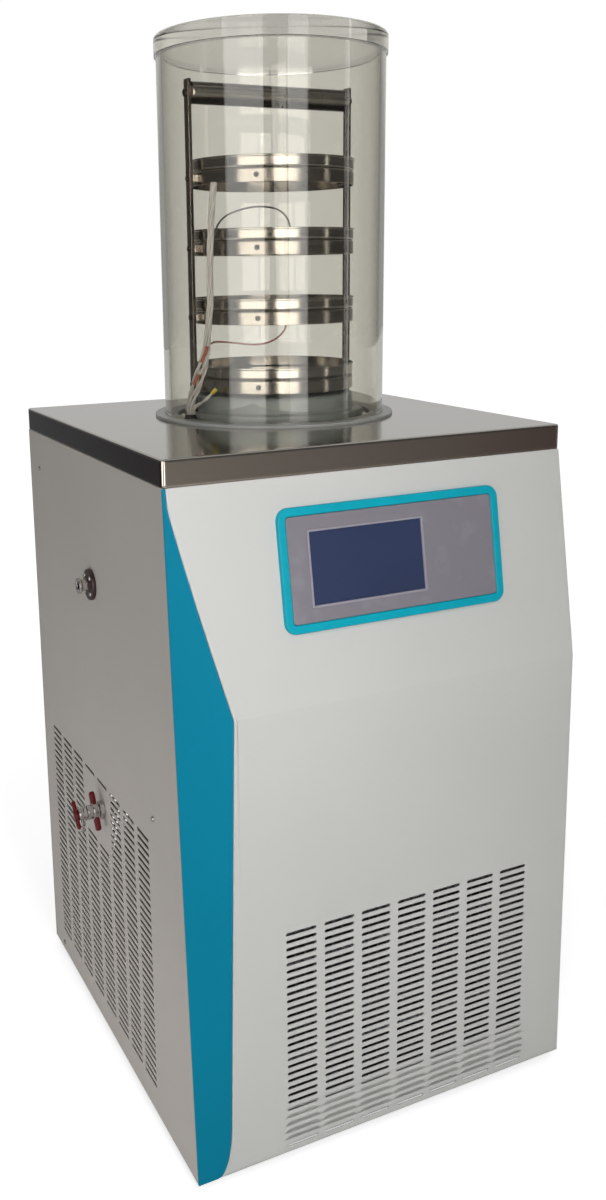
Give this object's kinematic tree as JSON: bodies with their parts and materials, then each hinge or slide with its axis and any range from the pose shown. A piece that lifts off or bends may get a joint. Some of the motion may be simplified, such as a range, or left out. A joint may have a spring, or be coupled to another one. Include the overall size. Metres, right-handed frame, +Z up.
{
  "type": "freeze dryer",
  "caption": "Upright laboratory freeze dryer: clear bell jar over a heated tray rack and cold trap, on a slotted steel cabinet with a sloping touch console.",
  "frame": {"origin": "on the floor under the middle of the top plate", "axes": "+X right along the front, +Y to the back, +Z up"},
  "size_m": [0.5937, 0.602, 1.393],
  "materials": {
    "side_coat": "light warm grey powder coat, fine orange peel",
    "front_coat": "off-white powder coat, fine orange peel",
    "trim_coat": "teal satin coat",
    "stainless_plate": "polished stainless sheet, faint grain",
    "bezel_plastic": "bright teal moulding",
    "overlay_film": "matt grey overlay film",
    "screen_rim": "pale grey rim",
    "screen_glass": "dark navy display glass",
    "black_plastic": "black moulding",
    "plated_screw": "plated screw head",
    "plated_fitting": "nickel-plated fitting",
    "dark_screw": "dark plated screw",
    "handle_red": "red moulded handle",
    "hose_silicone": "translucent hose",
    "stainless_inner": "brushed stainless",
    "copper": "copper tube",
    "foam": "foamed insulation",
    "grey_silicone": "grey silicone rubber",
    "collar_plastic": "grey polymer",
    "clear_acrylic": "clear acrylic",
    "rack_steel": "dark brushed stainless",
    "shelf_steel": "bright turned stainless",
    "tray_steel": "bright spun stainless",
    "wire_white": "white wire sheath",
    "wire_grey": "grey wire sheath",
    "wire_pink": "pink-brown wire sheath",
    "plug_yellow": "yellow and white connector",
    "galvanised_steel": "galvanised sheet",
    "black_rubber": "black rubber",
    "compressor_black": "black gloss paint",
    "fin_aluminium": "finned aluminium",
    "dark_coat": "dark paint",
    "fan_plastic": "dark moulding",
    "switch_red": "red rocker"
  },
  "bodies": {
    "cabinet": {"base_pan": "galvanised_steel", "levelling_feet": "black_rubber", "post_front_left": "galvanised_steel", "post_front_right": "galvanised_steel", "post_rear_left": "galvanised_steel", "post_rear_right": "galvanised_steel", "left_side_panel": "side_coat", "right_side_panel": "side_coat", "rear_panel": "side_coat", "front_fascia": "front_coat", "left_trim": "trim_coat", "top_plate": "stainless_plate", "console_bezel": "bezel_plastic", "control_overlay": "overlay_film", "screen_frame": "screen_rim", "touch_screen": "screen_glass", "display_housing": "black_plastic", "panel_screws": "plated_screw", "vacuum_port": "plated_fitting", "vacuum_port_screws": "plated_screw", "vacuum_duct": "stainless_inner", "drain_bulkhead": "plated_fitting", "drain_cock": "plated_fitting", "air_cock": "plated_fitting", "drain_hose": "hose_silicone", "cold_trap": "stainless_inner", "trap_coil": "copper", "trap_insulation": "foam", "jar_gasket": "grey_silicone", "trap_collar": "collar_plastic", "bell_jar_tube": "clear_acrylic", "bell_jar_lid": "clear_acrylic", "rack_post_left": "rack_steel", "rack_post_right": "rack_steel", "rack_crossbar": "rack_steel", "shelf_1": "shelf_steel", "shelf_2": "shelf_steel", "shelf_3": "shelf_steel", "shelf_4": "shelf_steel", "tray_1": "tray_steel", "tray_2": "tray_steel", "tray_3": "tray_steel", "tray_4": "tray_steel", "rack_screws": "dark_screw", "harness_trunk": "wire_white", "probe_lead": "wire_grey", "shelf_lead": "wire_pink", "harness_plug": "plug_yellow", "harness_grommet": "black_rubber", "compressor": "compressor_black", "condenser": "fin_aluminium", "fan_shroud": "dark_coat", "fan_motor": "dark_coat", "refrigerant_lines": "copper", "electric_plate": "galvanised_steel", "power_inlet": "black_plastic"},
    "drain_lever": {"drain_handle": "handle_red"},
    "air_lever": {"air_handle": "handle_red"},
    "fan": {"fan_rotor": "fan_plastic"},
    "rocker": {"power_switch": "switch_red"}
  },
  "joints": [
    {"name": "drain_turn", "type": "hinge", "parent": "cabinet", "child": "drain_lever", "pos_m": [-0.287, -0.013, 0.368], "axis": [-1, 0, 0], "range_deg": [-32, 58]},
    {"name": "air_turn", "type": "hinge", "parent": "cabinet", "child": "air_lever", "pos_m": [-0.311, -0.013, 0.368], "axis": [-1, 0, 0], "range_deg": [-40, 50]},
    {"name": "fan_spin", "type": "hinge", "parent": "cabinet", "child": "fan", "pos_m": [0.03, -0.15, 0.174], "axis": [0, 1, 0], "continuous": true},
    {"name": "rocker_tilt", "type": "hinge", "parent": "cabinet", "child": "rocker", "pos_m": [0.18, 0.268, 0.656], "axis": [1, 0, 0], "range_deg": [0, 18]}
  ]
}
